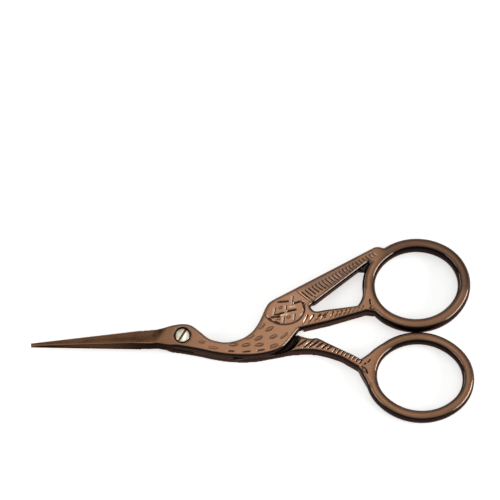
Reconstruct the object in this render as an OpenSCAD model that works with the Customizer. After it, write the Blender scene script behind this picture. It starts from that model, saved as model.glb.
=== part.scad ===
// Stork embroidery scissors, lying flat and closed.
// Two cast halves cross on one slotted screw. All sizes are millimetres.
// The screw's axis is Z, the underside of the lower half is Z = 0, +X runs from the
// screw to the finger rings, and -X runs to the tips.

/* [Length and layers] */
// Screw centre to the tips
blade_length = 39.5; // [30:0.5:60]
// Screw centre to the centres of the finger rings, along X
ring_reach = 61.4; // [58:0.1:80]
// Thickness of one half where it lies over the other
half_thickness = 2.17; // [1.7:0.01:3]
// Gap between the flat inner faces of the two halves
face_gap = 0.06; // [0.02:0.01:0.12]

/* [Blades] */
// Width of a blade at its tip
tip_width = 1.16; // [0.8:0.02:2]
// Width of a blade where it meets the head
root_width = 6.3; // [5.4:0.1:7.2]
// Thickness of the cutting edge
edge_thickness = 0.15; // [0.08:0.01:0.3]
// Height of the ridge above the flat inner face at the tip
tip_height = 0.45; // [0.3:0.05:1]
// Screw centre to the place where the ridge reaches the full thickness
ridge_start = 11.5; // [10:0.5:16]
// Screw centre to the foot of the cutting edge
edge_foot = 6.2; // [5.5:0.1:8]
// How far the cutting edge stays inside the other blade's spine when closed
edge_inset = 0.12; // [0:0.01:0.3]
// Turn of the closed blades from the X axis
blade_turn = 3.05; // [1:0.05:6]

/* [Head and body] */
// Screw centre to the top of the head
head_radius = 3.4; // [3.2:0.05:4.2]
// Lowest point of the belly below the X axis
belly_depth = 5.8; // [5.2:0.1:7]
// How far the lower half's belly stands out past the upper half's
belly_step = 0.3; // [0:0.05:0.6]
// Height of the bird's shoulder above the X axis
shoulder_height = 10.2; // [9:0.1:12]
// Underside of the tail above the table
tail_clearance = 1.5; // [0.6:0.1:2.1]

/* [Legs] */
// Underside of the upper leg above the table
upper_leg_clearance = 0.8; // [0.4:0.1:2.1]
// Thickness of the lower leg, which rises beside the body
lower_leg_thickness = 3.5; // [2.6:0.1:4.2]
// Crevice between the upper body and the raised part of the lower leg
leg_crevice = 1.5; // [0.5:0.05:1.8]
// Width of the upper leg where it leaves the body
upper_leg_width = 4.7; // [4:0.1:5.6]
// Width of the lower leg where it leaves the body
lower_leg_width = 3.4; // [2.8:0.1:4.2]

/* [Finger rings] */
// Length of both finger holes
hole_length = 22.1; // [18:0.1:26]
// Width of the hole in the upper ring
upper_hole_width = 19.8; // [17:0.1:24]
// Thickness of the upper ring's wall, seen from above
upper_wall = 3.3; // [2.6:0.05:4]
// Height of the upper ring's section
upper_ring_height = 4; // [3:0.1:4.4]
// Tilt of the upper ring's long axis
upper_tilt = 15; // [0:1:20]
// Width of the hole in the lower ring
lower_hole_width = 18.7; // [16:0.1:22]
// Thickness of the lower ring's wall, seen from above
lower_wall = 3; // [2.4:0.05:4]
// Height of the lower ring's section
lower_ring_height = 3.5; // [2.8:0.1:4]
// Tilt of the lower ring's long axis
lower_tilt = -3; // [-15:1:0]
// Height above the X axis at which the rings meet when closed
ring_meeting = 1.65; // [0:0.05:4]
// Gap left between the closed rings
ring_gap = 0.12; // [0.05:0.01:0.3]

/* [Pivot screw] */
// Diameter of the plain shank that the upper half turns on
shank_d = 2.8; // [2.2:0.1:3.2]
// Diametral running clearance of the shank in the upper half
shank_play = 0.1; // [0.04:0.02:0.2]
// Diameter of the threaded end in the lower half
thread_d = 2.2; // [1.6:0.1:2.6]
// Diametral clearance modelled at the threaded end
thread_play = 0.02; // [0.01:0.01:0.06]
// Diameter of the screw head
screw_head_d = 3.7; // [3.5:0.1:4.2]
// Gap between the screw head and the wall of its recess
head_play = 0.3; // [0.1:0.05:0.5]
// Height of the screw head
screw_head_h = 1.1; // [0.8:0.1:1.3]
// Rise of the head's shallow dome
screw_dome = 0.2; // [0.1:0.05:0.3]
// Width of the screwdriver slot
slot_width = 0.6; // [0.4:0.05:0.9]
// Depth of the screwdriver slot
slot_depth = 0.55; // [0.3:0.05:0.7]
// Direction of the slot, from the X axis
slot_turn = 60; // [0:5:175]

/* [Hidden] */

bronze = [0.42, 0.28, 0.20];
nickel = [0.83, 0.83, 0.78];

// Heights of the layers
mate_z = half_thickness;
upper_z = half_thickness + face_gap;
top_z = upper_z + half_thickness;
// Length by which a cutting tool runs past a face
past = 1;
// Steps along each stretch of a smooth outline, and around a ring's section
curve_steps = 5;
section_sides = 16;
// Squareness of a ring's section: 1 is an ellipse
section_power = 0.8;
// Facets of a full turn
round_fn = 96;

// A point of a Catmull-Rom curve between b and c, with a and d beside them
function curve_point(a, b, c, d, t) =
    0.5 * (2 * b + (c - a) * t + (2 * a - 5 * b + 4 * c - d) * t * t
        + (3 * b - a - 3 * c + d) * t * t * t);

// A smooth open curve through a few points
function smooth(p) = concat(
    [for (i = [0:len(p) - 2]) for (s = [0:curve_steps - 1])
        curve_point(p[max(i - 1, 0)], p[i], p[i + 1], p[min(i + 2, len(p) - 1)], s / curve_steps)],
    [p[len(p) - 1]]);

function turned(p, angle) =
    [p.x * cos(angle) - p.y * sin(angle), p.x * sin(angle) + p.y * cos(angle)];

// An oval ring is four quarter arcs. Their centres lie this far from the oval's centre.
function arc_shift(long, short) = (long - short) / (2 - sqrt(2));
// Half the height of an oval that is tilted
function tilted_half(long, short, tilt) = short + arc_shift(long, short) * (1 - cos(tilt));

// Half lengths of the ring's centre lines
upper_long = (hole_length + upper_wall) / 2;
upper_short = (upper_hole_width + upper_wall) / 2;
lower_long = (hole_length + lower_wall) / 2;
lower_short = (lower_hole_width + lower_wall) / 2;

// Centres of the two rings: each stands off the line where they meet
upper_centre = [ring_reach, ring_meeting + (ring_gap + upper_wall) / 2
    + tilted_half(upper_long, upper_short, upper_tilt)];
lower_centre = [ring_reach, ring_meeting - (ring_gap + lower_wall) / 2
    - tilted_half(lower_long, lower_short, lower_tilt)];

// A point of a ring, at an angle from its long axis and outside its centre line by out
function on_upper(angle, out) = upper_centre
    + turned([(upper_long + out) * cos(angle), (upper_short + out) * sin(angle)], upper_tilt);
function on_lower(angle, out) = lower_centre
    + turned([(lower_long + out) * cos(angle), (lower_short + out) * sin(angle)], lower_tilt);

// The back of the bird, from the head over the hollow of the neck
head_back = [[-2.3, 0.9 * head_radius], [0, head_radius], [2.2, 0.87 * head_radius], [4.5, 1.2]];
neck_back = [[6.6, -0.6], [8.6, -1.4], [11, -1.8], [13.5, -1.45], [15.9, -0.5], [18, 1.1]];
wing_back = [[19.7, 3.6], [20.8, 6.1], [21.6, shoulder_height - 2.2], [22.5, shoulder_height - 0.8],
    [23.9, shoulder_height + 0.2], [25.7, shoulder_height + 1.2]];
// The belly, from the body to the head
belly = [[22.5, 0.8 - belly_depth], [19, 0.15 - belly_depth], [15.4, -belly_depth],
    [11.8, 0.2 - belly_depth], [8, -5], [4.5, -4.2], [0, -3.35], [-2.6, -3]];
// The edge of the body beside the lower leg, from the upper leg down to the belly
rump = [[30.4, 1.8], [29.2, 0.3], [27.4, -2.1], [25.2, -3.95]];

// The tail runs past the outside of the upper ring and ends in a small round tip
tail_tip = concat(smooth([on_upper(119, 3.2), on_upper(116.7, 2.8), on_upper(114.5, 2.15),
    on_upper(112.5, 1.4)]), [for (a = [110:8:134]) on_upper(a, 0)]);
tail_foot = on_upper(137, 1.8);
// The crotch between tail and leg
crotch = smooth([[34.6, 9.45], [33.5, 8.7], [33.6, 7.7], [34.7, 2.2 + upper_leg_width],
    [37, 2.6 + upper_leg_width]]);
// Both edges of the upper leg where they run into the ring
upper_leg_top = concat(smooth([on_upper(187.3, 4.9), on_upper(187.5, 4.2), on_upper(183.7, 2.9),
    on_upper(178, 2), on_upper(169, 1.5)]), [for (a = [170:8:202]) on_upper(a, 0)]);
upper_leg_bottom = [on_upper(203, 1.7), on_upper(197.5, 3.1), [38.2, 3.75]];

// The curved end of the ground facet, from the ridge to the cutting edge
grind_end = [[-7.4, -2.1], [-5.7, 0.4], [-4.3, 2.3]];

upper_outline = concat(grind_end, smooth(concat(head_back, neck_back, wing_back)), tail_tip,
    [tail_foot], crotch, upper_leg_top, upper_leg_bottom, smooth(concat(rump, belly)), [[-4.6, -2.75]]);

// The lower half hides below the body, then comes out as the lower leg
hidden_back = [[6.6, -0.8], [9, -1.7], [12, -1.9], [16, -1.5], [21, -1.1]];
leg_start = [30.2, 1.2];
lower_leg_top = [[32.3, -0.25], [33.7, -0.4], [35.1, -0.25], [37.8, -1.65], [41.1, -3.35], [44.4, -5]];
lower_leg_flare = [on_lower(164.4, 3.5), on_lower(161.5, 3), on_lower(155, 2.2), on_lower(147, 1.8),
    on_lower(137, 1.4)];
lower_leg_root = [for (a = [131:8:195]) on_lower(a, 0)];
lower_leg_foot = [on_lower(195, 1.4), on_lower(187, 1.9), on_lower(179.5, 2.75), on_lower(175, 3.4)];
lower_leg_bottom = [[41.2, -5.95], [37.9, -4.8], [34.6, -0.65 - lower_leg_width],
    [31.3, -0.55 - lower_leg_width], [28, -4.2], [25.4, -4.75]];

lower_outline = concat([[-3, 2.6]], smooth(concat(head_back, hidden_back)),
    smooth(concat([leg_start], lower_leg_top)), lower_leg_flare, lower_leg_root, lower_leg_foot,
    smooth(concat(lower_leg_bottom, [for (p = belly) [p.x, p.y - belly_step]])), [[-3.9, -2.95]]);

// The raised part of the lower leg starts past a crevice, which runs along the rump, and ends
// below the belly in a thin tongue
crevice_wall = [for (p = [[25.7, -3.4], [26.6, -2.9], [27.4, -2.1], [28.4, -0.8], [29.1, 0.5]])
    [p.x + 0.78 * leg_crevice, p.y - 0.62 * leg_crevice]];
raised_outline = concat(smooth(concat([[30.6, 0.1]], lower_leg_top)), lower_leg_flare,
    lower_leg_root, lower_leg_foot, smooth([for (i = [0:4]) lower_leg_bottom[i]]), crevice_wall);

// Half the width of a blade at a distance from the screw
function half_width(x) =
    tip_width / 2 + (blade_length - x) * (root_width - tip_width) / 2 / (blade_length - 4);

// Cross-sections of a blade, each as spine, edge below, edge above, facet middle and ridge.
// A point is distance from the screw, place across the blade and height over the inner face.
function blade_section(x_spine, x_edge, x_ridge, ridge_y, edge_y, edge_h, mid_h, ridge_h) = [
    [-x_spine, -half_width(x_spine), 0],
    [-x_edge, half_width(x_edge) - edge_inset, 0],
    [-x_edge, edge_y, edge_h],
    [-(x_edge + x_ridge) / 2, (edge_y + ridge_y) / 2, mid_h],
    [-x_ridge, ridge_y, ridge_h]];

tip_edge_y = half_width(blade_length) - edge_inset;
root_edge_y = half_width(ridge_start) - edge_inset;
foot_edge_y = half_width(edge_foot) - edge_inset;

blade_sections = [
    blade_section(blade_length, blade_length, blade_length - 0.3, -0.15, tip_edge_y,
        edge_thickness, (edge_thickness + tip_height) / 2, tip_height),
    blade_section(ridge_start, ridge_start, ridge_start, -1.6, root_edge_y,
        edge_thickness, (edge_thickness + half_thickness) / 2 - 0.1, half_thickness),
    blade_section(9, edge_foot, 9.4, -1.75, foot_edge_y,
        edge_thickness + 0.1, half_thickness / 2, half_thickness),
    blade_section(6, 4.3, 7.3, -1.8, 2.45,
        half_thickness, half_thickness, half_thickness),
    blade_section(2.6, 2, 2.6, -2.7, 1.6,
        half_thickness, half_thickness, half_thickness)];

// Skin of a solid whose sections have the same number of points
function skin(count, sides) = concat(
    [for (k = [0:count - 2]) for (i = [0:sides - 1]) let (a = k * sides + i,
        b = k * sides + (i + 1) % sides) [a, b + sides, b]],
    [for (k = [0:count - 2]) for (i = [0:sides - 1]) let (a = k * sides + i,
        b = k * sides + (i + 1) % sides) [a, a + sides, b + sides]],
    [for (i = [1:sides - 2]) [0, i, i + 1]],
    [for (i = [1:sides - 2]) let (e = (count - 1) * sides) [e, e + i + 1, e + i]]);

// One blade along -X on its own flat face, with the spine on its -Y side
module blade() {
    polyhedron(points = [for (s = blade_sections) for (p = s) p],
        faces = skin(len(blade_sections), 5), convexity = 4);
}

// A cosine or sine squared off a little, so that the flats lie at 1
function rounded(v) = sign(v) * pow(abs(v) / cos(180 / section_sides), section_power);

// Rounded section of a ring, standing on Z = 0
module ring_section(wall, height) {
    translate([0, height / 2])
        polygon([for (i = [0:section_sides - 1]) let (a = (i + 0.5) * 360 / section_sides)
            [wall / 2 * rounded(cos(a)), height / 2 * rounded(sin(a))]]);
}

// An oval finger ring made of four quarter turns
module finger_ring(long, short, wall, height, tilt) {
    shift = arc_shift(long, short);
    rotate([0, 0, tilt]) {
        for (side = [0, 180])
            rotate([0, 0, side]) translate([shift, 0, 0]) rotate([0, 0, -45])
                rotate_extrude(angle = 90, $fn = round_fn)
                    translate([long - shift, 0]) ring_section(wall, height);
        for (side = [0, 180])
            rotate([0, 0, side]) translate([0, -shift, 0]) rotate([0, 0, 45])
                rotate_extrude(angle = 90, $fn = round_fn)
                    translate([short + shift, 0]) ring_section(wall, height);
    }
}

module lower_half() {
    color(bronze) difference() {
        union() {
            linear_extrude(height = mate_z) polygon(lower_outline);
            linear_extrude(height = lower_leg_thickness) polygon(raised_outline);
            translate([lower_centre.x, lower_centre.y, 0])
                finger_ring(lower_long, lower_short, lower_wall, lower_ring_height, lower_tilt);
            translate([0, 0, mate_z]) rotate([180, 0, blade_turn]) blade();
        }
        translate([0, 0, -past])
            cylinder(d = thread_d + thread_play, h = mate_z + 2 * past, $fn = round_fn);
    }
}

module upper_half() {
    recess_z = top_z - screw_head_h;
    middle_z = upper_z + half_thickness / 2;
    // Below the tail a small web fills the corner beside the ring
    tail_pad = concat([[30.5, 13.6]], tail_tip, [on_upper(146.5, 1.4),
        0.82 * tail_foot + 0.18 * crotch[0], crotch[0], [33.2, 9.1]]);
    leg_pad = concat([[31.4, 2.1], [31.8, 6.3], [34.9, 1.9 + upper_leg_width],
        [37.2, 2.4 + upper_leg_width]], upper_leg_top, upper_leg_bottom);
    color(bronze) difference() {
        union() {
            translate([0, 0, upper_z]) linear_extrude(height = half_thickness) polygon(upper_outline);
            translate([0, 0, tail_clearance])
                linear_extrude(height = middle_z - tail_clearance) polygon(tail_pad);
            translate([0, 0, upper_leg_clearance])
                linear_extrude(height = middle_z - upper_leg_clearance) polygon(leg_pad);
            translate([upper_centre.x, upper_centre.y, top_z - upper_ring_height])
                finger_ring(upper_long, upper_short, upper_wall, upper_ring_height, upper_tilt);
            translate([0, 0, upper_z]) rotate([0, 0, blade_turn]) blade();
        }
        translate([0, 0, -past])
            cylinder(d = shank_d + shank_play, h = top_z + 2 * past, $fn = round_fn);
        translate([0, 0, recess_z])
            cylinder(d = screw_head_d + 2 * head_play, h = screw_head_h + past, $fn = round_fn);
    }
}

module pivot_screw() {
    head_z = top_z - screw_head_h + shank_play / 2;
    rim_z = top_z - screw_dome;
    dome_r = (screw_head_d * screw_head_d / 4 + screw_dome * screw_dome) / 2 / screw_dome;
    color(nickel) difference() {
        union() {
            cylinder(d = thread_d, h = mate_z, $fn = round_fn);
            translate([0, 0, mate_z]) cylinder(d = shank_d, h = head_z - mate_z, $fn = round_fn);
            translate([0, 0, head_z]) cylinder(d = screw_head_d, h = rim_z - head_z, $fn = round_fn);
            intersection() {
                translate([0, 0, head_z]) cylinder(d = screw_head_d, h = top_z, $fn = round_fn);
                translate([0, 0, top_z - dome_r]) sphere(r = dome_r, $fn = round_fn);
            }
        }
        translate([0, 0, top_z - slot_depth]) rotate([0, 0, slot_turn])
            translate([-screw_head_d, -slot_width / 2, 0])
                cube([2 * screw_head_d, slot_width, slot_depth + past]);
    }
}

lower_half();
upper_half();
pivot_screw();
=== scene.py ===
# %% [markdown]
# # Stork embroidery scissors
# A stork made of two cast steel halves that cross on one slotted screw. The bird's long beak is
# the pair of blades, the screw is its eye, and its tail and leg run into the finger rings.
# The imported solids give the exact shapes. Here each half gets what the casting shop and the
# plating shop would give it: rounded edges, a ground blade, engraved feathers and a bronze coat.

# %% Load the frame
import math

import bpy
from mathutils import Matrix, Vector


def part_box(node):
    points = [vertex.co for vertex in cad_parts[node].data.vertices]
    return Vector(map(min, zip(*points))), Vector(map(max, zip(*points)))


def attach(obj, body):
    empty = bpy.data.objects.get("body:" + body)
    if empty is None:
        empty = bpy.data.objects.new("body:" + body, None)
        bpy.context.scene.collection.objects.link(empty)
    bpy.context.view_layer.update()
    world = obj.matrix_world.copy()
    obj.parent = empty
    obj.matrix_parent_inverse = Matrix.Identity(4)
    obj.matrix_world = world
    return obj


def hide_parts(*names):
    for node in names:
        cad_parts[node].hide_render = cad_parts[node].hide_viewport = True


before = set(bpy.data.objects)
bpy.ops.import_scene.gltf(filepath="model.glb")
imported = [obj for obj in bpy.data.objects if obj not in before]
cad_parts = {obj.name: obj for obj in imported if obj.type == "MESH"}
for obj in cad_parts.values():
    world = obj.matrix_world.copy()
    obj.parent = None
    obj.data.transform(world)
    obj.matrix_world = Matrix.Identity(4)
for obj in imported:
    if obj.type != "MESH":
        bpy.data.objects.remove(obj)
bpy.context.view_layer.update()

MM = 0.001
top_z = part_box("upper_half")[1].z
leg_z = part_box("lower_half")[1].z
print("solids:", sorted(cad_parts), "top of the bird:", round(top_z / MM, 2), "mm")

# %% [markdown]
# ## Camera
# The photograph looks down on the table from the side of the lower ring, 25 degrees away from
# straight above, from about half a metre. A long lens at that distance keeps the rings nearly
# free of perspective.

# %% Camera
frame_px = 500
focal_px = 1849
camera_data = bpy.data.cameras.new("camera")
camera_data.sensor_width = 36
camera_data.lens = focal_px / frame_px * camera_data.sensor_width
camera_data.clip_start = 0.01
camera = bpy.data.objects.new("camera", camera_data)
camera.location = Vector((17.52, -182.90, 448.73)) * MM
camera.rotation_euler = (math.radians(25), 0, 0)
bpy.context.collection.objects.link(camera)
bpy.context.scene.camera = camera
print("lens:", round(camera_data.lens, 1), "mm")

# %% [markdown]
# ## Shader groups
# Antique bronze is a dark brown coat that the polisher takes down again on faces that look up, and
# the bottoms of the grooves keep it nearly black. The sides are painted nearly black too, as
# painted shade that grows as a face turns from straight up. One group makes that mask from the
# direction of the surface, and in a groove also from its depth. A second one makes the fine speckle
# of the coat, which both colours and roughens it. Every bronze below uses the two with its own
# values, so the finishes stay related.

# %% Group helper
def new_group(name, inputs, outputs):
    """An empty node group, with its input and output sockets ready to link inside."""
    group = bpy.data.node_groups.new(name, "ShaderNodeTree")
    for socket_name, kind, value in inputs:
        socket = group.interface.new_socket(socket_name, in_out="INPUT", socket_type=kind)
        socket.default_value = value
    for socket_name, kind in outputs:
        group.interface.new_socket(socket_name, in_out="OUTPUT", socket_type=kind)
    ends = group.nodes.new("NodeGroupInput"), group.nodes.new("NodeGroupOutput")
    return group, ends[0].outputs, ends[1].inputs


def math_node(tree, operation, a, b=0.0):
    """a and b are numbers or sockets, as in all the node helpers here."""
    node = tree.nodes.new("ShaderNodeMath")
    node.operation = operation
    for socket, value in zip(node.inputs, (a, b)):
        if isinstance(value, (int, float)):
            socket.default_value = value
        else:
            tree.links.new(value, socket)
    return node.outputs[0]


def ramp_node(tree, value, low, high, out_low=0.0, out_high=1.0):
    """A soft step: out_low up to low, out_high from high on."""
    node = tree.nodes.new("ShaderNodeMapRange")
    node.interpolation_type = "SMOOTHSTEP"
    for socket, number in zip(node.inputs, (value, low, high, out_low, out_high)):
        if isinstance(number, (int, float)):
            socket.default_value = number
        else:
            tree.links.new(number, socket)
    return node.outputs[0]


def mix_node(tree, factor, a, b, blend="MIX"):
    node = tree.nodes.new("ShaderNodeMix")
    node.data_type = "RGBA"
    node.blend_type = blend
    for socket, value in zip((node.inputs[0], node.inputs[6], node.inputs[7]), (factor, a, b)):
        if isinstance(value, (int, float, tuple)):
            socket.default_value = value
        else:
            tree.links.new(value, socket)
    return node.outputs[2]


def noise_node(tree, vector, scale, detail=2.0, roughness=0.5):
    node = tree.nodes.new("ShaderNodeTexNoise")
    node.inputs["Scale"].default_value = scale
    node.inputs["Detail"].default_value = detail
    node.inputs["Roughness"].default_value = roughness
    tree.links.new(vector, node.inputs["Vector"])
    return node.outputs["Fac"]


# %% Rubbed faces and painted shade
patches_per_metre = 260
rubbed_and_shaded_faces, group_in, group_out = new_group(
    "rubbed_and_shaded_faces",
    [("Vector", "NodeSocketVector", (0, 0, 0)), ("Tilt shaded dark", "NodeSocketFloat", 0.75),
     ("Tilt fully lit", "NodeSocketFloat", 0.99), ("Patchiness", "NodeSocketFloat", 0.1),
     ("Height kept dark", "NodeSocketFloat", -1.0), ("Height rubbed", "NodeSocketFloat", -0.9)],
    [("Mask", "NodeSocketFloat"), ("Flatness", "NodeSocketFloat")])
geometry = rubbed_and_shaded_faces.nodes.new("ShaderNodeNewGeometry")
split = rubbed_and_shaded_faces.nodes.new("ShaderNodeSeparateXYZ")
rubbed_and_shaded_faces.links.new(geometry.outputs["Normal"], split.inputs[0])
flatness = math_node(rubbed_and_shaded_faces, "ABSOLUTE", split.outputs["Z"])
rubbed_and_shaded_faces.links.new(flatness, group_out["Flatness"])
height_split = rubbed_and_shaded_faces.nodes.new("ShaderNodeSeparateXYZ")
rubbed_and_shaded_faces.links.new(group_in["Vector"], height_split.inputs[0])
reached = ramp_node(rubbed_and_shaded_faces, height_split.outputs["Z"], group_in["Height kept dark"],
                    group_in["Height rubbed"])
patches = noise_node(rubbed_and_shaded_faces, group_in["Vector"], patches_per_metre, 3)
patches = math_node(rubbed_and_shaded_faces, "SUBTRACT", patches, 0.5)
patches = math_node(rubbed_and_shaded_faces, "MULTIPLY", patches, group_in["Patchiness"])
flatness = math_node(rubbed_and_shaded_faces, "ADD", flatness, patches)
# Wear on faces that look up, painted shade on faces that turn sideways.
rubbed = ramp_node(rubbed_and_shaded_faces, flatness, group_in["Tilt shaded dark"], group_in["Tilt fully lit"])
rubbed = math_node(rubbed_and_shaded_faces, "MULTIPLY", rubbed, reached)
rubbed_and_shaded_faces.links.new(rubbed, group_out["Mask"])
print("group:", rubbed_and_shaded_faces.name, "with", len(rubbed_and_shaded_faces.nodes), "nodes")

# %% Fine speckle
clouds_per_metre = 130
speckle_share, cloud_share = 0.7, 0.3
fine_speckle, group_in, group_out = new_group(
    "fine_speckle",
    [("Vector", "NodeSocketVector", (0, 0, 0)), ("Grain per metre", "NodeSocketFloat", 4000.0)],
    [("Speckle", "NodeSocketFloat"), ("Clouds", "NodeSocketFloat"), ("Height", "NodeSocketFloat")])
speckle = fine_speckle.nodes.new("ShaderNodeTexNoise")
speckle.inputs["Detail"].default_value = 3.0
speckle.inputs["Roughness"].default_value = 0.6
fine_speckle.links.new(group_in["Vector"], speckle.inputs["Vector"])
fine_speckle.links.new(group_in["Grain per metre"], speckle.inputs["Scale"])
clouds = noise_node(fine_speckle, group_in["Vector"], clouds_per_metre, 4)
height = math_node(fine_speckle, "ADD",
                   math_node(fine_speckle, "MULTIPLY", speckle.outputs["Fac"], speckle_share),
                   math_node(fine_speckle, "MULTIPLY", clouds, cloud_share))
fine_speckle.links.new(speckle.outputs["Fac"], group_out["Speckle"])
fine_speckle.links.new(clouds, group_out["Clouds"])
fine_speckle.links.new(height, group_out["Height"])
print("group:", fine_speckle.name, "with", len(fine_speckle.nodes), "nodes")

# %% [markdown]
# ## Bronze
# The coat is metal with a thin clear lacquer over it. Its colour is a warm copper brown where faces
# look up. Faces that turn sideways get a brown black as painted shade, which turns to plain brown
# toward the tip of the blade. One recipe serves every place: the outer faces, the grooves whose
# ground the polisher never reaches, the bars of the wing, painted pale as a highlight, and the
# faces in crevices, painted dark as shade. The lacquer shows most on slopes, where it draws a
# bright line on each broken edge, and the grinder took it off the blade.

# %% Where the painted shade changes
# Places in metres from the screw. All run along X, from the tip of the blade (-) to the rings (+),
# but for tail_fade, which runs along Y to the far side.
blade_fade = (-0.026, -0.008)
lacquer_starts = (-0.006, -0.001)
head_fade = (-0.004, 0.008)
ring_fade = (0.042, 0.056)
tail_fade = (0.0112, 0.014)
ring_root = 0.0495
root_reach = (0.0015, 0.0045)


def painted_shade_by_place(tree, along, across):
    """Painted shade: darker colour on head, rings and tail, less of it at the upper ring's root."""
    root = math_node(tree, "ABSOLUTE", math_node(tree, "SUBTRACT", along, ring_root))
    lost = math_node(tree, "MULTIPLY", ramp_node(tree, root, *root_reach, 0.1, 0.4),
                     ramp_node(tree, across, *tail_fade))
    shade = math_node(tree, "SUBTRACT", 1.0, lost)
    shade = math_node(tree, "MULTIPLY", shade, ramp_node(tree, along, *ring_fade, 1.0, 0.7))
    return math_node(tree, "MULTIPLY", shade, ramp_node(tree, along, *head_fade, 0.75, 1.0))


# The printed place is where the painted shade is deepest.
print("the coat is darkest beyond X =", ring_fade[1] / MM, "mm and Y =", tail_fade[1] / MM, "mm")

# %% Recipe for bronze
# The first brown is painted shade on faces that turn sideways, the second the patina in a groove's
# ground and painted shade on its walls, the third painted shade on the blade's slopes.
painted_shade_brown = (0.014, 0.008, 0.005, 1)
groove_brown = (0.07, 0.036, 0.022, 1)
blade_brown = (0.09, 0.045, 0.024, 1)
grain_per_metre = 5200.0
noise_range = (0.3, 0.7)     # most of a noise lies between these values


def place_group(tree, group, values):
    node = tree.nodes.new("ShaderNodeGroup")
    node.node_tree = group
    for name, value in values.items():
        if isinstance(value, (int, float)):
            node.inputs[name].default_value = value
        else:
            tree.links.new(value, node.inputs[name])
    return node.outputs


def bronze(name, bright_face_colour, shade_and_patina_colour, dark_tilt, bright_tilt, roughness, depth=None):
    """Painted shade up to dark_tilt, full colour from the next tilt: 0 sideways, 1 straight up.

    depth holds the height of a groove's dark ground and of its rim, in metres."""
    material = bpy.data.materials.new(name)
    material.use_nodes = True
    tree = material.node_tree
    shader = tree.nodes["Principled BSDF"]
    place = tree.nodes.new("ShaderNodeTexCoord").outputs["Object"]
    split = tree.nodes.new("ShaderNodeSeparateXYZ")
    tree.links.new(place, split.inputs[0])
    along, across = split.outputs["X"], split.outputs["Y"]
    values = {"Vector": place, "Tilt shaded dark": dark_tilt, "Tilt fully lit": bright_tilt,
              "Patchiness": 0.05}
    if depth:
        values["Height kept dark"], values["Height rubbed"] = depth
    wear_and_shade = place_group(tree, rubbed_and_shaded_faces, values)
    grain = place_group(tree, fine_speckle, {"Vector": place, "Grain per metre": grain_per_metre})

    # Where the mask is low the colour is painted shade, and in a groove's ground it is the patina.
    shade_and_patina_colour = mix_node(tree, ramp_node(tree, along, *blade_fade), blade_brown, shade_and_patina_colour)
    colour = mix_node(tree, wear_and_shade["Mask"], shade_and_patina_colour, bright_face_colour)
    shade = ramp_node(tree, grain["Speckle"], *noise_range, 0.97, 1.03)
    for factor in (ramp_node(tree, grain["Clouds"], *noise_range, 0.9, 1.1),
                   painted_shade_by_place(tree, along, across)):
        shade = math_node(tree, "MULTIPLY", shade, factor)
    grey = tree.nodes.new("ShaderNodeCombineColor")
    for socket in grey.inputs[:3]:
        tree.links.new(shade, socket)
    colour = mix_node(tree, 1.0, colour, grey.outputs[0], "MULTIPLY")
    tree.links.new(colour, shader.inputs["Base Color"])
    rough = ramp_node(tree, grain["Clouds"], *noise_range, roughness - 0.03, roughness + 0.05)
    tree.links.new(rough, shader.inputs["Roughness"])
    shader.inputs["Metallic"].default_value = 0.9
    shader.inputs["Specular Tint"].default_value = (0.58, 0.45, 0.42, 1)

    lacquer = ramp_node(tree, wear_and_shade["Flatness"], 0.5, 0.68, 0.05, 1.0)
    for factor in (ramp_node(tree, wear_and_shade["Flatness"], 0.86, 0.97, 1.0, 0.35),
                   ramp_node(tree, along, *lacquer_starts, 0.05, 1.0)):
        lacquer = math_node(tree, "MULTIPLY", lacquer, factor)
    tree.links.new(lacquer, shader.inputs["Coat Weight"])
    shader.inputs["Coat Roughness"].default_value = 0.1
    bump = tree.nodes.new("ShaderNodeBump")
    bump.inputs["Strength"].default_value = 0.1
    bump.inputs["Distance"].default_value = 0.01 * MM
    tree.links.new(grain["Height"], bump.inputs["Height"])
    tree.links.new(bump.outputs["Normal"], shader.inputs["Normal"])
    return material


# %% The finishes
bronze_coat = bronze("antique_bronze_coat", (0.37, 0.182, 0.095, 1), painted_shade_brown, 0.70, 0.96, 0.27)
bronze_grooves = bronze("bronze_in_grooves", (0.40, 0.21, 0.12, 1), groove_brown, 0.4, 0.85, 0.27,
                        (top_z - 0.2 * MM, top_z - 0.02 * MM))
leg_grooves = bronze("bronze_in_leg_grooves", (0.44, 0.25, 0.16, 1), groove_brown, 0.4, 0.85, 0.27,
                     (leg_z - 0.24 * MM, leg_z - 0.02 * MM))
# Pale bronze for the wing's bars: a painted highlight.
highlight_bronze = bronze("bronze_painted_highlight", (0.92, 0.62, 0.45, 1), painted_shade_brown, 0.2, 0.5, 0.27)
# The next two are painted shade: dark for crevices, lighter for the ledge under the belly.
bronze_painted_shade = bronze("painted_crevice_shade", (0.04, 0.023, 0.015, 1), painted_shade_brown, 0.55, 0.98, 0.4)
bronze_ledge = bronze("bronze_on_the_ledge", (0.14, 0.08, 0.05, 1), painted_shade_brown, 0.3, 0.8, 0.35)
finishes = (bronze_coat, bronze_grooves, leg_grooves, highlight_bronze, bronze_painted_shade, bronze_ledge)
print("materials:", [finish.name for finish in finishes])

# %% [markdown]
# ## Bright nickel
# The screw is turned and left bright. Fine lines across its head are what a file leaves when the
# head is dressed flush, and the slot is given a darker brown.

# %% Nickel material
file_turn = math.radians(-35)
file_stretch = 14
file_lines_per_metre = smears_per_metre = 900


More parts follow.
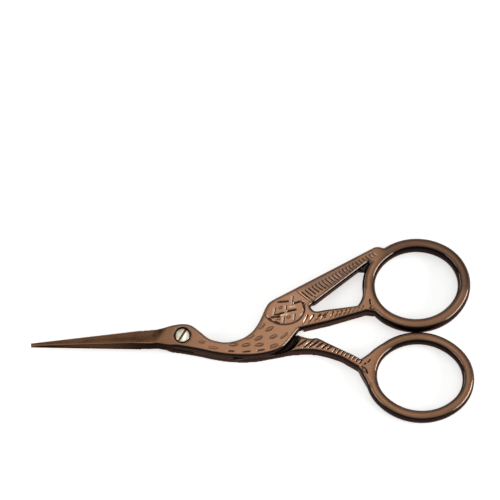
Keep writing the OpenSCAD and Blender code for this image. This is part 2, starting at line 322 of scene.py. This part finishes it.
def nickel(name, colour, roughness):
    """Bright metal with fine file lines and warm smears."""
    material = bpy.data.materials.new(name)
    material.use_nodes = True
    tree = material.node_tree
    shader = tree.nodes["Principled BSDF"]
    place = tree.nodes.new("ShaderNodeTexCoord").outputs["Object"]
    stretch = tree.nodes.new("ShaderNodeMapping")
    stretch.inputs["Rotation"].default_value = (0, 0, file_turn)
    stretch.inputs["Scale"].default_value = (1, file_stretch, 1)
    tree.links.new(place, stretch.inputs["Vector"])
    lines = noise_node(tree, stretch.outputs[0], file_lines_per_metre, 3)
    smears = noise_node(tree, place, smears_per_metre, 3)
    tint = ramp_node(tree, smears, 0.4, 0.62)
    warm = tuple(part * fade for part, fade in zip(colour, (0.9, 0.82, 0.66, 1)))
    tree.links.new(mix_node(tree, tint, colour, warm), shader.inputs["Base Color"])
    tree.links.new(ramp_node(tree, lines, *noise_range, roughness - 0.06, roughness + 0.1),
                   shader.inputs["Roughness"])
    shader.inputs["Metallic"].default_value = 1.0
    bump = tree.nodes.new("ShaderNodeBump")
    bump.inputs["Strength"].default_value = 0.3
    bump.inputs["Distance"].default_value = 0.02 * MM
    tree.links.new(lines, bump.inputs["Height"])
    tree.links.new(bump.outputs["Normal"], shader.inputs["Normal"])
    return material


bright_nickel = nickel("bright_nickel", (1.0, 0.97, 0.84, 1), 0.18)
darker_slot = nickel("darker_slot", (0.22, 0.14, 0.06, 1), 0.35)
print("materials:", bright_nickel.name, darker_slot.name)

# %% [markdown]
# ## From solid to casting
# A casting has no sharp edge. First a plain bevel breaks the rims round the top faces, as a file
# does. Rounder bevels can't run cleanly where a round ring melts into a flat leg, so each half is
# skinned again with a fine even mesh and then relaxed, which rounds what is left of every edge
# and fills the inner corners. The blade is left out of that, because a grinder makes its edges,
# and it is joined on crisp.

# %% Select and edit
def only(piece):
    """Make a piece the one selected and active object."""
    if bpy.context.mode != "OBJECT":
        bpy.ops.object.mode_set(mode="OBJECT")
    bpy.ops.object.select_all(action="DESELECT")
    piece.select_set(True)
    bpy.context.view_layer.objects.active = piece


def edit(piece):
    """Edit a piece with all of it selected."""
    only(piece)
    bpy.ops.object.mode_set(mode="EDIT")
    bpy.ops.mesh.select_mode(type="VERT")
    bpy.ops.mesh.select_all(action="SELECT")


def done():
    bpy.ops.object.mode_set(mode="OBJECT")


# %% Change and copy
def apply_modifier(piece, kind, **settings):
    only(piece)
    modifier = piece.modifiers.new(kind.lower(), kind)
    for name, value in settings.items():
        setattr(modifier, name, value)
    bpy.ops.object.modifier_apply(modifier=modifier.name)


def boolean(piece, tool, operation):
    """Cut or add a tool and use it up. The new faces keep the tool's finish."""
    apply_modifier(piece, "BOOLEAN", operation=operation, object=tool, solver="MANIFOLD",
                   material_mode="TRANSFER")
    bpy.data.objects.remove(tool)


def copy_piece(piece, name):
    """A copy with its own mesh."""
    twin = bpy.data.objects.new(name, piece.data.copy())
    bpy.context.collection.objects.link(twin)
    return twin


def cut_at(piece, x, keep_left):
    """Cut a piece in two at x (metres) and close the cut."""
    edit(piece)
    bpy.ops.mesh.bisect(plane_co=(x, 0, 0), plane_no=(1, 0, 0), use_fill=True,
                        clear_outer=keep_left, clear_inner=not keep_left)
    done()


# %% Start from a solid
same_point = 1e-6
same_face = math.radians(0.6)


def solid_copy(node, name):
    """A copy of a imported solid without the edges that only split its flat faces."""
    piece = copy_piece(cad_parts[node], name)
    edit(piece)
    bpy.ops.mesh.remove_doubles(threshold=same_point)
    bpy.ops.mesh.dissolve_limited(angle_limit=same_face)
    done()
    piece.data.materials.clear()
    piece.data.materials.append(bronze_coat)
    print(name, "starts with", len(piece.data.polygons), "faces")
    return piece


# %% Stack of rings
def ring_stack(name, profile, material, sides=96):
    """A turned solid on the Z axis: a disc at the first radius and height (mm), then extruded."""
    bpy.ops.object.select_all(action="DESELECT")
    radius, z = profile[0]
    bpy.ops.mesh.primitive_circle_add(vertices=sides, radius=radius * MM, fill_type="NGON",
                                      location=(0, 0, z * MM))
    piece = bpy.context.object
    piece.name = name
    bpy.ops.object.transform_apply(location=True)
    edit(piece)
    for (r0, z0), (r1, z1) in zip(profile, profile[1:]):
        bpy.ops.mesh.extrude_region_move(TRANSFORM_OT_translate={"value": (0, 0, (z1 - z0) * MM)})
        bpy.ops.transform.resize(value=(r1 / r0, r1 / r0, 1), center_override=(0, 0, z1 * MM))
    bpy.ops.mesh.select_all(action="SELECT")
    bpy.ops.mesh.normals_make_consistent(inside=False)
    done()
    piece.data.materials.append(material)
    return piece


# %% Round the ridge of a blade
blade_only = -7 * MM
ridge_percent = 20


def normals_by_edge(piece):
    """The normals of the faces that meet at each edge."""
    normals = {}
    for face in piece.data.polygons:
        for key in face.edge_keys:
            normals.setdefault(key, []).append(face.normal.copy())
    return normals


def select_edges(piece, wanted):
    """Select the edges for which wanted(normals, ends) is true, and enter edit mode."""
    edit(piece)
    bpy.ops.mesh.select_all(action="DESELECT")
    done()
    normals = normals_by_edge(piece)
    count = 0
    for edge in piece.data.edges:
        meeting = normals.get(edge.key, [])
        ends = [piece.data.vertices[i].co for i in edge.vertices]
        if len(meeting) == 2 and wanted(meeting, ends):
            edge.select = True
            count += 1
    bpy.ops.object.mode_set(mode="EDIT")
    bpy.ops.mesh.select_mode(type="EDGE")
    return count


def round_ridge(piece, up):
    """Round the edge from ground facet to spine. up is -1 for the blade that lies upside down."""
    def on_ridge(normals, ends):
        spine, facet = sorted((normal * up for normal in normals), key=lambda n: -n.y * up)
        return (max(end.x for end in ends) < blade_only
                and spine.y * up > 0.3 and spine.z > 0.8 and facet.y * up < -0.6)

    count = select_edges(piece, on_ridge)
    bpy.ops.mesh.bevel(offset_type="PERCENT", offset_pct=ridge_percent, segments=5, affect="EDGES")
    done()
    print(piece.name, "ridge edges rounded:", count)


# %% Break the rims
rim_width = 0.55 * MM
behind_blade = -4 * MM
round_the_pivot = 3 * MM


def break_rims(piece, lowest):
    """Bevel the edges between top faces and walls above lowest, but not on blade or pivot hole."""
    def on_rim(normals, ends):
        wall, top = sorted(normal.z for normal in normals)
        return (top > 0.95 and abs(wall) < 0.3 and min(end.z for end in ends) > lowest
                and min(end.x for end in ends) > behind_blade
                and min(end.xy.length for end in ends) > round_the_pivot)

    count = select_edges(piece, on_rim)
    bpy.ops.mesh.bevel(offset=rim_width, segments=1, affect="EDGES", clamp_overlap=False)
    done()
    print(piece.name, "rim edges broken:", count)


# %% Soften the casting
voxel = 0.19 * MM
crisp_until, fully_cast = -12 * MM, -8.5 * MM
foot_share, foot_height = 0.25, 1.2 * MM
wheel_end, wheel_reach = -6.5 * MM, 3.5 * MM
casting_passes, wheel_passes = 12, 45


def relax(piece, weight, passes):
    """Smooth the vertices of a piece, each as much as weight(its place) says."""
    group = piece.vertex_groups.new(name="relax")
    for vertex in piece.data.vertices:
        share = weight(vertex.co)
        if share > 0:
            group.add([vertex.index], share, "REPLACE")
    apply_modifier(piece, "SMOOTH", factor=0.5, iterations=passes, vertex_group=group.name)
    piece.vertex_groups.clear()


def soften(piece, foot):
    """Skin the piece again and relax it: all on top, less at the foot, not at all on the blade.

    Where the grinding wheel ran out, in front of the head, the skin is relaxed once more."""
    def casting(place):
        along = (place.x - crisp_until) / (fully_cast - crisp_until)
        return min(1, along) * max(foot_share, min(1, (place.z - foot) / foot_height))

    def run_out(place):
        return 1 - abs(place.x - wheel_end) / wheel_reach

    apply_modifier(piece, "REMESH", mode="VOXEL", voxel_size=voxel)
    relax(piece, casting, casting_passes)
    relax(piece, run_out, wheel_passes)


# %% Cast both halves
overlap, spare = 1.2 * MM, 2 * MM


def cast_half(node, name, up, foot):
    """Cast body and crisp blade in one piece. foot is the height (metres) the half stands on."""
    blade = solid_copy(node, name + "_blade")
    round_ridge(blade, up)
    body = copy_piece(blade, name)
    cut_at(blade, crisp_until + overlap, keep_left=True)
    cut_at(body, crisp_until - spare, keep_left=False)
    break_rims(body, foot + foot_height)
    soften(body, foot)
    cut_at(body, crisp_until, keep_left=False)
    boolean(body, blade, "UNION")
    print(name, "is cast with", len(body.data.polygons), "faces")
    return body


upper = cast_half("upper_half", "engraved_upper_half", 1, 2.23 * MM)
lower = cast_half("lower_half", "engraved_lower_half", -1, 0)

# %% [markdown]
# ## Drill and counterbore
# The pivot hole and the recess for the screw's head are cut after casting, so their edges are
# crisp again. A drill is a cylinder, and a small countersink breaks the rim of the recess.

# %% Drill the pivot
recess_radius, shank_hole, thread_hole = 2.15 * MM, 1.45 * MM, 1.11 * MM
recess_z = top_z - 1.1 * MM
countersink = 0.08 * MM


def drill(radius, low, high, rim=0.0):
    """A drill from low to high. rim widens its upper end to a countersink."""
    bpy.ops.object.select_all(action="DESELECT")
    bpy.ops.mesh.primitive_cylinder_add(vertices=96, radius=radius, depth=high - low,
                                        location=(0, 0, (low + high) / 2))
    tool = bpy.context.object
    bpy.ops.object.transform_apply(location=True)
    if rim:
        edit(tool)
        bpy.ops.mesh.select_all(action="DESELECT")
        done()
        for vertex in tool.data.vertices:
            vertex.select = vertex.co.z > (low + high) / 2
        bpy.ops.object.mode_set(mode="EDIT")
        wide = (radius + 2 * rim) / radius
        bpy.ops.transform.resize(value=(wide, wide, 1), center_override=(0, 0, high))
        done()
    tool.data.materials.append(bronze_grooves)
    return tool


boolean(upper, drill(recess_radius, recess_z, top_z + 0.5 * MM), "DIFFERENCE")
boolean(upper, drill(recess_radius, top_z - countersink, top_z + countersink, countersink),
        "DIFFERENCE")
boolean(upper, drill(shank_hole, 2 * MM, recess_z + 0.2 * MM), "DIFFERENCE")
boolean(lower, drill(thread_hole, -1 * MM, 3 * MM), "DIFFERENCE")
print("pivot drilled:", len(upper.data.polygons), len(lower.data.polygons), "faces")

# %% [markdown]
# ## Engraved feathers
# The marks are the common ones of such a bird, cut with three gravers. A round one leaves a
# shallow seed shape. A straight one cuts a V with two plain walls, of which one catches the light
# and the other stays dark. A pointed one is wide where it starts and thins out as it lifts. Each
# is modelled once as a solid and copied to every mark, and all copies of a field are cut in one
# go. The bars of the wing are shallow cuts in a pale bronze, a painted highlight.

# %% Three gravers
# Radius and height of each ring. The solid reaches from -1 to 1, where the mark starts and ends.
round_profile = [(math.sin(math.radians(a)), -math.cos(math.radians(a))) for a in range(6, 180, 12)]
straight_profile = [(0.2, -1), (0.8, -0.85), (1, -0.5), (1, 0.5), (0.8, 0.85), (0.2, 1)]
pointed_profile = [(0.03, -1), (0.85, -0.86), (1, -0.7), (0.75, 0), (0.4, 0.6), (0.03, 1)]


def lay_down(piece):
    """Turn the Z axis of a graver to +X."""
    edit(piece)
    bpy.ops.transform.rotate(value=-math.pi / 2, orient_axis="Y", center_override=(0, 0, 0))
    done()
    return piece


round_graver = lay_down(ring_stack("round_graver", round_profile, bronze_coat, 20))
straight_graver = lay_down(ring_stack("straight_graver", straight_profile, bronze_grooves, 4))
pointed_graver = lay_down(ring_stack("pointed_graver", pointed_profile, bronze_grooves, 4))
gravers = (round_graver, straight_graver, pointed_graver)
print("gravers:", [graver.name for graver in gravers])

# %% One mark
# Only the lowest part of the round graver cuts: it is lifted by so many depths, and made wider.
round_lift, round_wider = 1.2, 1.19


def mark(start, end, width, depth, surface=top_z, graver=straight_graver, lean=0, inside=None):
    """A copy of a graver that cuts from start to end (mm) into the face at height surface.

    lean (degrees) makes one wall steep and the other shallow. inside is the finish it leaves."""
    twin = copy_piece(graver, "mark")
    if inside:
        twin.data.materials[0] = inside
    a, b = Vector((*start, 0)), Vector((*end, 0))
    lift, wider = (round_lift * depth, round_wider) if graver == round_graver else (0, 1)
    size = Matrix.Diagonal(((b - a).length / 2 * wider, width / 2 * wider, depth + lift, 1))
    centre = (a + b) / 2 + Vector((0, 0, surface / MM + lift))
    turn = Matrix.Rotation(math.atan2(b.y - a.y, b.x - a.x), 4, "Z")
    twin.data.transform(Matrix.Translation(centre * MM) @ turn
                        @ Matrix.Rotation(math.radians(lean), 4, "X") @ size)
    return twin


def longer(a, b, share):
    """Carry a mark on by a share of its length at both ends."""
    a, b = Vector(a), Vector(b)
    return a.lerp(b, -share), a.lerp(b, 1 + share)


def beside(a, b, offset):
    """Move a mark along X."""
    return (a[0] + offset, a[1]), (b[0] + offset, b[1])


def cut_marks(piece, marks):
    """Join the marks of a field and cut them in one go."""
    only(marks[0])
    for twin in marks:
        twin.select_set(True)
    bpy.ops.object.join()
    boolean(piece, marks[0], "DIFFERENCE")
    print(piece.name, "after", len(marks), "marks:", len(piece.data.polygons), "faces")


# %% Seeds on neck and breast
# Marks are given by start and end, pits by their centre, in mm on the face, here and below.
seeds = [((12.14, -2.99), (14.45, -2.69)), ((15.38, -3.19), (17.69, -2.69)),
         ((18.80, -3.09), (21.11, -2.69)), ((22.68, -3.79), (24.81, -2.69)),
         ((18.80, -1.60), (20.84, -0.50)), ((22.60, -1.00), (24.64, -0.20)),
         ((21.59, 1.01), (23.73, 2.11))]
faint_seeds = [((6.69, -3.59), (9.28, -3.89)), ((16.58, -1.30), (18.71, -0.20)),
               ((25.56, -1.10), (27.43, 0.51)), ((20.01, 1.51), (21.50, 3.12)),
               ((4.2, -2.1), (5.9, -2.2))]
slits = [((11.69, -4.50), (13.53, -4.60)), ((15.38, -4.80), (17.69, -4.56)),
         ((19.17, -4.50), (21.38, -4.05))]
cut_marks(upper, [mark(a, b, 1.1, 0.16, graver=round_graver, lean=-26) for a, b in seeds]
          + [mark(a, b, 1.0, 0.1, graver=round_graver, lean=-20) for a, b in faint_seeds])
cut_marks(upper, [mark(a, b, 0.55, 0.22) for a, b in slits])

# %% Border of the wing
wing_centre, wing_half = (26.4, 7.4), (5.3, 4.45)
border_depth = 0.21
open_from, open_to = 32, 200


def wing_border():
    """A four-sided ring, opened where tail and neck join the wing and stretched to an oval."""
    thickness = 0.07
    bpy.ops.object.select_all(action="DESELECT")
    bpy.ops.mesh.primitive_torus_add(major_segments=96, minor_segments=4, major_radius=1,
                                     minor_radius=thickness)
    tool = bpy.context.object
    edit(tool)
    bpy.ops.mesh.select_all(action="DESELECT")
    done()
    for vertex in tool.data.vertices:
        turn = math.degrees(math.atan2(vertex.co.y, vertex.co.x)) % 360
        vertex.select = open_from < turn < open_to
    bpy.ops.object.mode_set(mode="EDIT")
    bpy.ops.mesh.delete(type="VERT")
    bpy.ops.mesh.select_all(action="SELECT")
    bpy.ops.mesh.region_to_loop()
    bpy.ops.mesh.edge_face_add()
    bpy.ops.mesh.select_all(action="SELECT")
    bpy.ops.mesh.normals_make_consistent(inside=False)
    done()
    size = [length * MM for length in (*wing_half, border_depth / thickness)]
    tool.data.transform(Matrix.Translation((wing_centre[0] * MM, wing_centre[1] * MM, top_z))
                        @ Matrix.Diagonal((*size, 1)))
    tool.data.materials.append(bronze_grooves)
    return tool


cut_marks(upper, [wing_border()])

# %% Lattice of the wing
rows = [((23.84, 5.48), (26.27, 6.25)), ((27.20, 6.65), (29.54, 7.16)),
        ((24.70, 9.29), (27.51, 9.50)), ((31.99, 8.89), (30.87, 9.50)),
        ((30.87, 9.50), (28.90, 8.89)), ((23.00, 4.93), (25.24, 5.24)),
        ((31.42, 8.18), (31.99, 8.89)), ((22.3, 4.75), (23.8, 3.75)), ((23.7, 3.8), (25.5, 3.1))]
columns = [((23.89, 7.75), (23.42, 5.43)), ((26.72, 8.44), (26.48, 6.43)),
           ((28.48, 11.08), (28.11, 8.19)), ((28.95, 6.06), (28.70, 3.93)),
           ((26.12, 5.18), (25.88, 3.30))]
bright_rows = [((27.68, 7.77), (29.46, 8.07)), ((25.6, 5.40), (27.66, 5.84)),
               ((31.55, 7.6), (31.35, 6.3)), ((31.35, 6.3), (30.5, 5.1))]
pits = [(25.53, 7.67), (27.6, 5.0), (24.95, 4.5)]
cut_marks(upper, [mark(*longer(a, b, 0.1), 0.66, 0.27) for a, b in rows])
cut_marks(upper, [mark(*beside(a, b, 0.38), 0.34, 0.2) for a, b in columns])
# Pale bronze in the bars paints their highlight.
cut_marks(upper, [mark(a, b, 0.6, 0.12, inside=highlight_bronze) for a, b in columns + bright_rows])
cut_marks(upper, [mark((x - 0.6, y - 0.2), (x + 0.6, y + 0.2), 0.75, 0.14, graver=round_graver,
                       lean=-15) for x, y in pits])

# %% Tail feathers
tail_start, tail_end = Vector((32.15, 11.25)), Vector((50.4, 23.1))
tail_count = 22
feathers = []
for i in range(tail_count):
    share = i / (tail_count - 1)
    middle = tail_start.lerp(tail_end, share)
    half = Vector((1.1, -1.0)) * (1 - 0.5 * share)
    feathers.append(mark(middle - half, middle + half, 0.58, 0.27 - 0.06 * share))
cut_marks(upper, feathers)
quill = [((29.3, 12.9), (33.5, 9.3)), ((33.3, 10.3), (34.2, 9.6)), ((34.3, 11.0), (35.2, 10.4))]
cut_marks(upper, [mark(a, b, 0.45, 0.18) for a, b in quill])

# %% Upper leg
leg_strokes = [((32.60, 5.49), (31.11, 2.84)), ((34.16, 5.67), (32.57, 3.11)),
               ((35.95, 5.93), (34.21, 3.64)), ((37.34, 6.11), (35.52, 3.99))]
leg_pits = [(37.67, 6.38), (39.23, 6.47), (40.45, 6.64), (41.52, 6.86), (42.67, 7.09),
            (43.73, 7.32), (44.88, 7.53), (46.03, 7.80), (47.10, 8.06)]
upper_foot = [((48.87, 10.2), (49.07, 8.5)), ((49.07, 8.33), (50.17, 6.91)),
              ((48.60, 7.89), (49.68, 7.00)), ((49.30, 7.97), (50.19, 7.53))]
cut_marks(upper, [mark(*longer(a, b, 0.08), 0.75, 0.27, graver=pointed_graver)
                  for a, b in leg_strokes]
          + [mark((x + 0.25, y + 0.2), (x - 0.25, y - 0.2), 0.55, 0.22, graver=round_graver,
                  inside=bronze_grooves) for x, y in leg_pits])
cut_marks(upper, [mark((x - 0.1, y - 0.3), (x - 0.8, y - 1.6), 0.5, 0.16) for x, y in leg_pits])
cut_marks(upper, [mark(a, b, 0.6, 0.3) for a, b in upper_foot])

# %% Lower leg
lower_strokes = [((32.45, -0.80), (29.80, -2.75)), ((34.20, -0.78), (31.25, -3.25)),
                 ((35.60, -1.10), (32.80, -3.10)), ((36.80, -1.60), (34.50, -3.10)),
                 ((37.85, -2.10), (36.05, -3.45)), ((38.85, -2.60), (37.40, -3.75))]
short_strokes = [((39.92, -3.15), (39.02, -4.45)), ((40.85, -3.65), (40.05, -4.75)),
                 ((41.75, -4.05), (41.05, -5.15)), ((42.70, -4.50), (42.05, -5.50)),
                 ((43.65, -5.05), (43.00, -6.05)), ((44.55, -5.55), (43.95, -6.50)),
                 ((45.45, -6.05), (44.85, -7.00)), ((46.50, -6.50), (45.75, -7.50))]
lower_foot = [((48.64, -6.32), (47.88, -7.36)), ((47.55, -7.5), (46.9, -7.85)),
              ((46.09, -8.05), (47.43, -9.09)), ((47.43, -9.09), (47.80, -10.47)),
              ((46.39, -8.75), (47.00, -10.13))]
for field, share, width, depth in ((lower_strokes, 0.06, 0.7, 0.38),
                                   (short_strokes, 0.12, 0.64, 0.4), (lower_foot, 0, 0.55, 0.3)):
    cut_marks(lower, [mark(*longer(a, b, share), width, depth, leg_z, inside=leg_grooves)
                      for a, b in field])

# %% Shade painted into crevices
def paint_shade(piece, finish, highest, low_corner, high_corner):
    """Paint shade onto faces that look up, below highest, in a recess between two corners (mm)."""
    piece.data.materials.append(finish)
    count = 0
    for face in piece.data.polygons:
        x, y, z = face.center / MM
        if (face.normal.z > 0.5 and z < highest and low_corner[0] < x < high_corner[0]
                and low_corner[1] < y < high_corner[1]):
            face.material_index = len(piece.data.materials) - 1
            count += 1
    print(piece.name, "faces kept dark:", count)


# Painted shade under the rump, on the ledge along the belly, and in the sunk corner of the tail
# window.
paint_shade(lower, bronze_painted_shade, 2.6, (24, -9), (40, 12))
paint_shade(lower, bronze_ledge, 2.6, (3, -9), (24, 0))
paint_shade(upper, bronze_painted_shade, 3.6, (24, 2), (53, 22))

# %% Finish both halves
crisp_above = math.radians(24)
for graver in gravers:
    bpy.data.objects.remove(graver)
for piece, node, body in ((upper, "upper_half", "upper"), (lower, "lower_half", "lower")):
    only(piece)
    bpy.ops.object.shade_smooth_by_angle(angle=crisp_above)
    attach(piece, body)
    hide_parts(node)
    triangles = sum(len(face.vertices) - 2 for face in piece.data.polygons)
    print(piece.name, triangles, "triangles", [m.name for m in piece.data.materials])

# %% [markdown]
# ## Pivot screw
# One turned piece: a low domed head with a broken rim, a plain shank and a threaded end. It is
# drawn as a stack of rings, extruded and scaled step by step, and the slot is sawn last.

# %% Turn the screw
screw_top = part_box("pivot_screw")[1].z / MM
head_z, dome_z, head_edge = 3.35, 4.1, 1.85
tip_radius = 0.05
profile = [(1.02, 0.0), (1.1, 0.1), (1.1, 2.17), (1.4, 2.17), (1.4, head_z), (1.75, head_z),
           (head_edge, head_z + 0.1), (head_edge, dome_z)]
for turn in range(80, 0, -10):
    reach = math.sin(math.radians(turn))
    rise = (screw_top - dome_z) * math.cos(math.asin(reach))
    profile.append((head_edge * reach + tip_radius * (1 - reach), dome_z + rise))
screw = ring_stack("slotted_pivot_screw", profile, bright_nickel)
print(screw.name, "is", round(screw_top, 2), "mm long")

# %% Saw the slot
slot_turn = math.radians(60)
slot_width, slot_bottom, saw_height = 0.6, -0.55, 1.5

bpy.ops.object.select_all(action="DESELECT")
bpy.ops.mesh.primitive_cube_add(size=1)
saw = bpy.context.object
saw_centre = screw_top + slot_bottom + saw_height / 2
saw.data.transform(Matrix.Rotation(slot_turn, 4, "Z")
                   @ Matrix.Translation((0, 0, saw_centre * MM))
                   @ Matrix.Diagonal((6 * MM, slot_width * MM, saw_height * MM, 1)))
saw.data.materials.append(darker_slot)
boolean(screw, saw, "DIFFERENCE")
apply_modifier(screw, "BEVEL", width=0.05 * MM, segments=2, limit_method="ANGLE",
               angle_limit=math.radians(40))
only(screw)
bpy.ops.object.shade_smooth_by_angle(angle=math.radians(32))
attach(screw, "lower")
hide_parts("pivot_screw")
print(screw.name, len(screw.data.polygons), "faces")

# %% [markdown]
# ## Table and light
# The pair lies on a plain white table under a pale dome that is brighter overhead. A soft lamp
# hangs above, a wide card stands far behind, and two cards on the left put thin lines on the
# slopes that look that way. A window low on the right draws the warm bright edges. The table is
# lifted to white only for the camera and for reflections, so it throws no more light on the
# metal, and it keeps the soft shadow.

# %% Table
just_below = -0.01 * MM
lift_to_white = 0.53
bpy.ops.object.select_all(action="DESELECT")
bpy.ops.mesh.primitive_plane_add(size=6, location=(0, 0, just_below))
table = bpy.context.object
table.name = "table_top"
table_paint = bpy.data.materials.new("white_table")
table_paint.use_nodes = True
tree = table_paint.node_tree
shader = tree.nodes["Principled BSDF"]
shader.inputs["Base Color"].default_value = (0.9, 0.9, 0.89, 1)
shader.inputs["Roughness"].default_value = 0.9
shader.inputs["Specular IOR Level"].default_value = 0.0
light_path = tree.nodes.new("ShaderNodeLightPath")
seen = math_node(tree, "MAXIMUM", light_path.outputs["Is Camera Ray"],
                 math_node(tree, "MAXIMUM", light_path.outputs["Is Glossy Ray"],
                           light_path.outputs["Is Transmission Ray"]))
shader.inputs["Emission Color"].default_value = (1, 1, 0.99, 1)
tree.links.new(math_node(tree, "MULTIPLY", seen, lift_to_white), shader.inputs["Emission Strength"])
table.data.materials.append(table_paint)
print("table:", table.dimensions.x, "m wide")

# %% World
world = bpy.data.worlds.new("white_studio")
bpy.context.scene.world = world
world.use_nodes = True
tree = world.node_tree
backdrop = tree.nodes["Background"]
backdrop.inputs["Color"].default_value = (1, 1, 1, 1)
light_path = tree.nodes.new("ShaderNodeLightPath")
direction = tree.nodes.new("ShaderNodeTexCoord")
split = tree.nodes.new("ShaderNodeSeparateXYZ")
tree.links.new(direction.outputs["Generated"], split.inputs[0])
dome_low, dome_high = (0.45, 0.09), (0.97, 0.72)     # height on the sky and strength there
dome = ramp_node(tree, split.outputs["Z"], dome_low[0], dome_high[0], dome_low[1], dome_high[1])
tree.links.new(math_node(tree, "MAXIMUM", light_path.outputs["Is Camera Ray"], dome),
               backdrop.inputs["Strength"])
print("dome: strength", dome_low[1], "low and", dome_high[1], "overhead")

# %% Lamps
def lamp(name, place, target, size, power, colour=(1, 1, 1)):
    """A soft rectangular lamp (metres, watts) that looks at target."""
    data = bpy.data.lights.new(name, "AREA")
    data.shape = "RECTANGLE"
    data.size, data.size_y = size
    data.energy = power
    data.color = colour
    thing = bpy.data.objects.new(name, data)
    thing.location = place
    thing.rotation_euler = (Vector(target) - Vector(place)).to_track_quat("-Z", "Y").to_euler()
    bpy.context.collection.objects.link(thing)
    return thing


lamp("overhead_softbox", (0.045, 0.16, 0.70), (0.03, 0, 0), (0.06, 0.5), 0.15)
lamp("far_card", (-0.15, 0.85, 0.40), (-0.04, 0, 0), (1.3, 0.28), 0.5)
lamp("left_card", (-0.36, -0.14, 0.28), (0.03, 0, 0), (0.3, 0.14), 0.4)
lamp("low_left_card", (-0.45, 0.25, 0.07), (0.03, 0, 0), (0.3, 0.12), 0.45)
lamp("right_window", (0.50, -0.10, 0.17), (0.04, 0, 0), (0.44, 0.13), 2.3, (1, 0.97, 0.92))

bpy.context.scene.view_settings.view_transform = "Standard"
